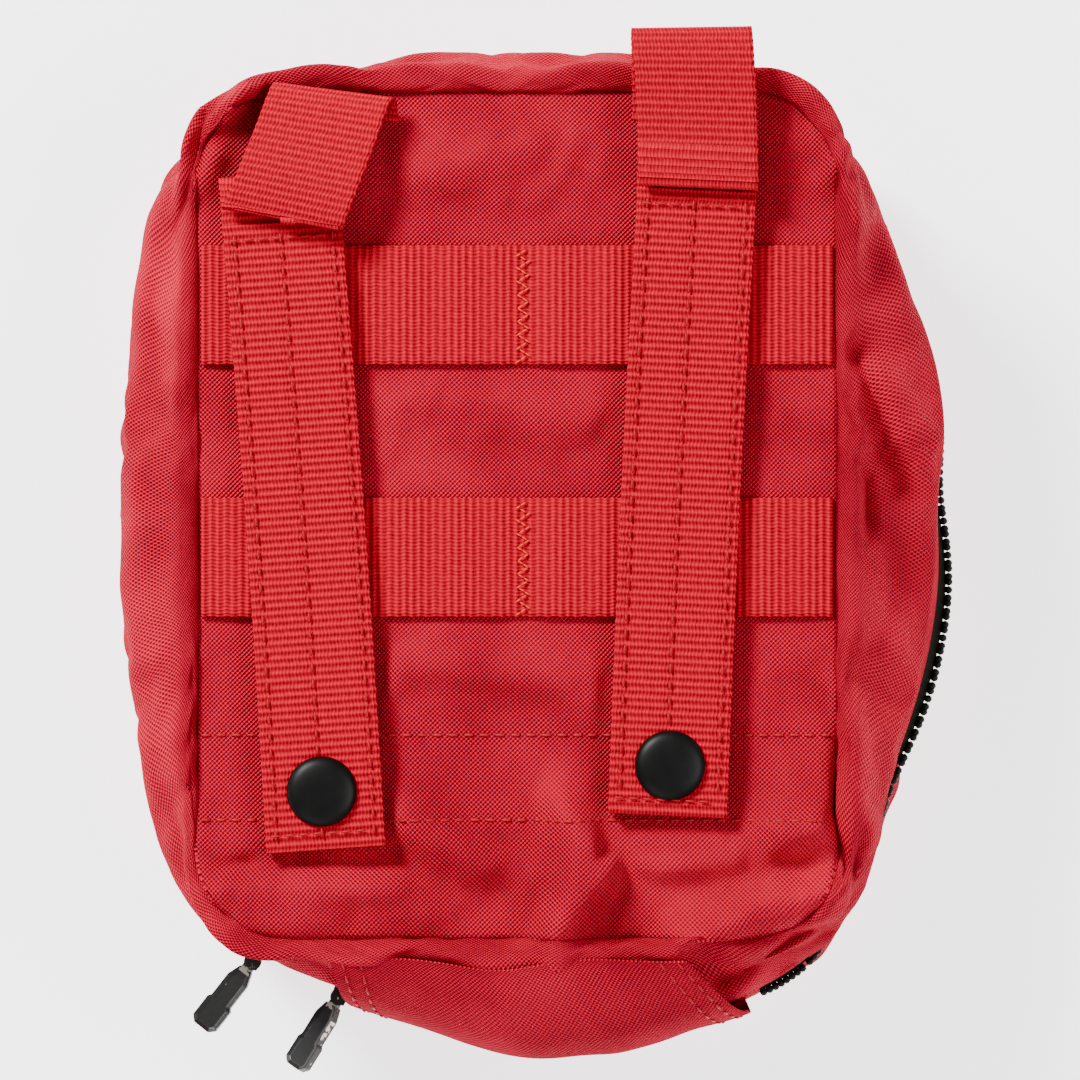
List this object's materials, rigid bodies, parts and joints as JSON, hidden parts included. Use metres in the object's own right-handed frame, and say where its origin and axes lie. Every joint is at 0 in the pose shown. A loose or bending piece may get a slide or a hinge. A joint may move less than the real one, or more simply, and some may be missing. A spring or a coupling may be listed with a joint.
{
  "type": "first aid kit pouch",
  "caption": "Clamshell first aid pouch of woven nylon with a zip, webbing rows and two snap straps on its back, holding dressings and small tools.",
  "frame": {"origin": "centre of the badge patch's flat outer face, which the pouch rests on", "axes": "+Z out of the back panel, +Y to the top of the pouch, +X across it"},
  "size_m": [0.1734, 0.2199, 0.07],
  "materials": {
    "nylon_cloth": "woven",
    "nylon_lining": "woven",
    "foam": "matte",
    "red_webbing": "woven",
    "black_binding": "woven",
    "loop_pile": "pile",
    "zip_tape": "woven",
    "zip_coil": "satin",
    "black_cast_metal": "worn paint",
    "black_snap_metal": "satin",
    "stiffener_plastic": "matte",
    "mesh": "mesh",
    "elastic": "woven",
    "dressing_paper": "matte",
    "gauze": "open weave",
    "vial_plastic": "translucent",
    "vial_cap_plastic": "gloss",
    "adhesive_tape": "woven",
    "tape_core_card": "matte",
    "tweezers_steel": "brushed"
  },
  "bodies": {
    "front_half": {"badge_patch": "loop_pile", "front_panel": "nylon_cloth", "front_foam": "foam", "front_lining": "nylon_lining", "front_gusset": "nylon_cloth", "front_binding": "black_binding", "front_zip_tape": "zip_tape", "front_zip_coil": "zip_coil", "front_hinge_panel": "nylon_cloth", "zip_end_stops": "black_cast_metal", "mesh_pocket": "mesh", "mesh_pocket_binding": "red_webbing", "dressing_packs": "dressing_paper", "gauze_rolls": "gauze"},
    "back_half": {"back_panel": "nylon_cloth", "back_foam": "foam", "back_lining": "nylon_lining", "back_gusset": "nylon_cloth", "back_binding": "black_binding", "back_zip_tape": "zip_tape", "back_zip_coil": "zip_coil", "back_hinge_panel": "nylon_cloth", "upper_webbing": "red_webbing", "lower_webbing": "red_webbing", "snap_reinforcement": "red_webbing", "snap_studs": "black_snap_metal", "snap_stud_rivets": "black_snap_metal", "left_strap_anchor": "red_webbing", "right_strap_anchor": "red_webbing", "elastic_loops": "elastic", "antiseptic_vials": "vial_plastic", "vial_caps": "vial_cap_plastic", "tape_roll": "adhesive_tape", "tape_roll_core": "tape_core_card", "tweezers": "tweezers_steel"},
    "left_strap": {"left_strap_face": "red_webbing", "left_strap_stiffener": "stiffener_plastic", "left_strap_backing": "red_webbing", "left_snap_cap": "black_snap_metal", "left_snap_socket": "black_snap_metal"},
    "right_strap": {"right_strap_face": "red_webbing", "right_strap_stiffener": "stiffener_plastic", "right_strap_backing": "red_webbing", "right_snap_cap": "black_snap_metal", "right_snap_socket": "black_snap_metal"},
    "left_slider": {"left_slider": "black_cast_metal"},
    "left_pull": {"left_pull": "black_cast_metal"},
    "right_slider": {"right_slider": "black_cast_metal"},
    "right_pull": {"right_pull": "black_cast_metal"}
  },
  "joints": [
    {"name": "lid", "type": "hinge", "parent": "front_half", "child": "back_half", "pos_m": [0, -0.11, 0.037], "axis": [1, 0, 0], "range_deg": [0, 180]},
    {"name": "left_strap_fold", "type": "hinge", "parent": "back_half", "child": "left_strap", "pos_m": [-0.0516, 0.09, 0.0665], "axis": [-0.9976, -0.0698, 0], "range_deg": [0, 180]},
    {"name": "right_strap_fold", "type": "hinge", "parent": "back_half", "child": "right_strap", "pos_m": [0.0392, 0.092, 0.0665], "axis": [-0.9989, 0.0471, 0], "range_deg": [0, 180]},
    {"name": "left_slider_run", "type": "hinge", "parent": "front_half", "child": "left_slider", "pos_m": [-0.038, -0.0562, 0.037], "axis": [0, 0, -1], "range_deg": [0, 40]},
    {"name": "left_pull_swing", "type": "hinge", "parent": "left_slider", "child": "left_pull", "pos_m": [-0.05711, -0.09627, 0.037], "axis": [0, 0, 1], "range_deg": [-45, 10]},
    {"name": "right_slider_run", "type": "hinge", "parent": "front_half", "child": "right_slider", "pos_m": [0, 0.01678, 0.037], "axis": [0, 0, -1], "range_deg": [0, 2.4]},
    {"name": "right_pull_swing", "type": "hinge", "parent": "right_slider", "child": "right_pull", "pos_m": [-0.03849, -0.10391, 0.037], "axis": [0, 0, 1], "range_deg": [-20, 5]}
  ]
}
